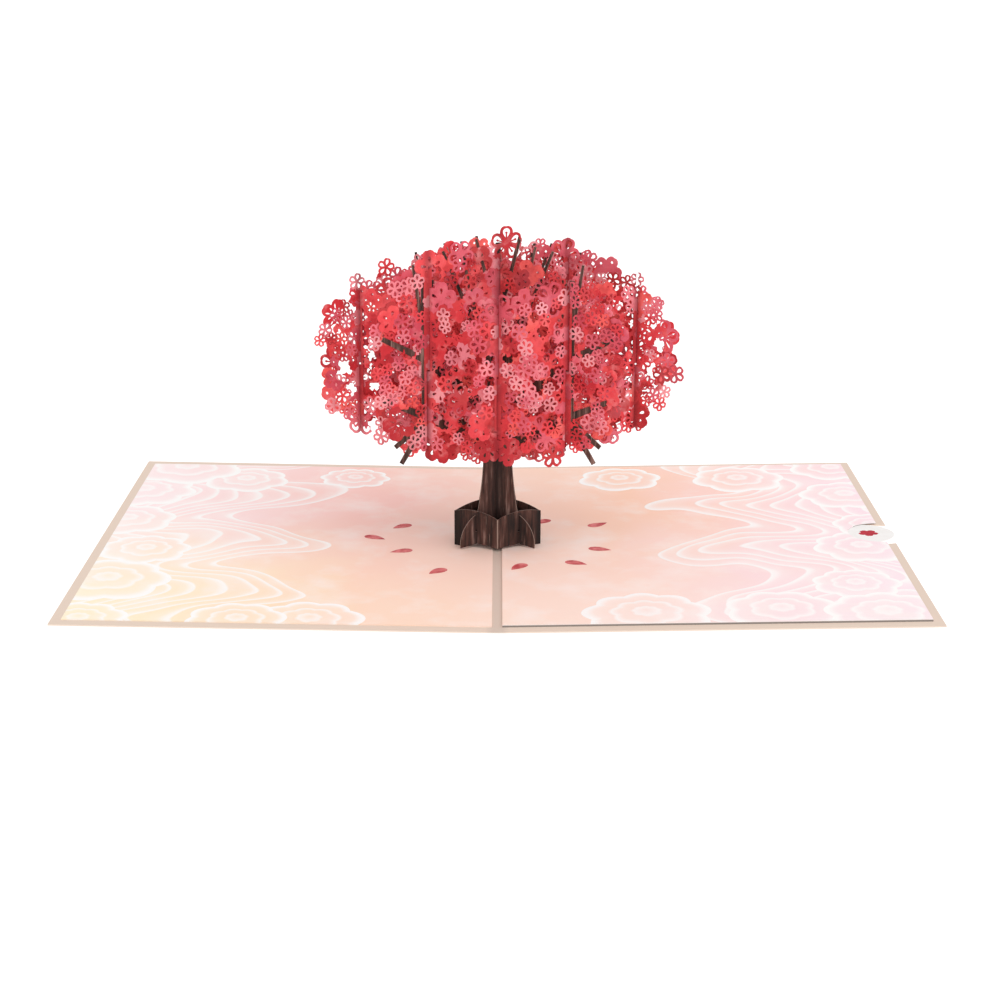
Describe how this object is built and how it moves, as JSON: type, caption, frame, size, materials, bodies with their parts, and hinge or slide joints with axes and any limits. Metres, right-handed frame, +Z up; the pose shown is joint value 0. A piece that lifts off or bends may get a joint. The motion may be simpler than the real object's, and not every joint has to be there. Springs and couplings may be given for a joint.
{
  "type": "pop up card",
  "caption": "Open greeting card with a slotted paper blossom tree standing over its fold, held by a folded root ring, and a leaf pocket with a sliding notecard.",
  "frame": {"origin": "under the middle of the card's fold, on the surface it lies on", "axes": "+X along the open card towards the pocket leaf, +Y away from the reader along the fold, +Z up the tree"},
  "size_m": [0.2551, 0.178, 0.1029],
  "materials": {
    "cover_card": "matte",
    "liner_print": "matte",
    "note_paper": "matte",
    "trunk_paper": "matte",
    "crown_paper": "matte",
    "blossom_paper": "matte"
  },
  "bodies": {
    "card": {"cover": "cover_card", "left_liner": "liner_print", "pocket_panel": "liner_print", "root_ring": "trunk_paper", "trunk_slice_a": "trunk_paper", "trunk_slice_b": "trunk_paper", "crown_sheet_a_front": "crown_paper", "crown_sheet_a_back": "crown_paper", "crown_sheet_b_front": "crown_paper", "crown_sheet_b_back": "crown_paper", "blossom_slice_front_left": "blossom_paper", "blossom_slice_front_right": "blossom_paper", "blossom_slice_back_left": "blossom_paper", "blossom_slice_back_right": "blossom_paper"},
    "notecard": {"notecard": "note_paper"}
  },
  "joints": [
    {"name": "notecard_slide", "type": "slide", "parent": "card", "child": "notecard", "axis": [0.9999, 0, 0.0167], "range_m": [0, 0.12]}
  ]
}
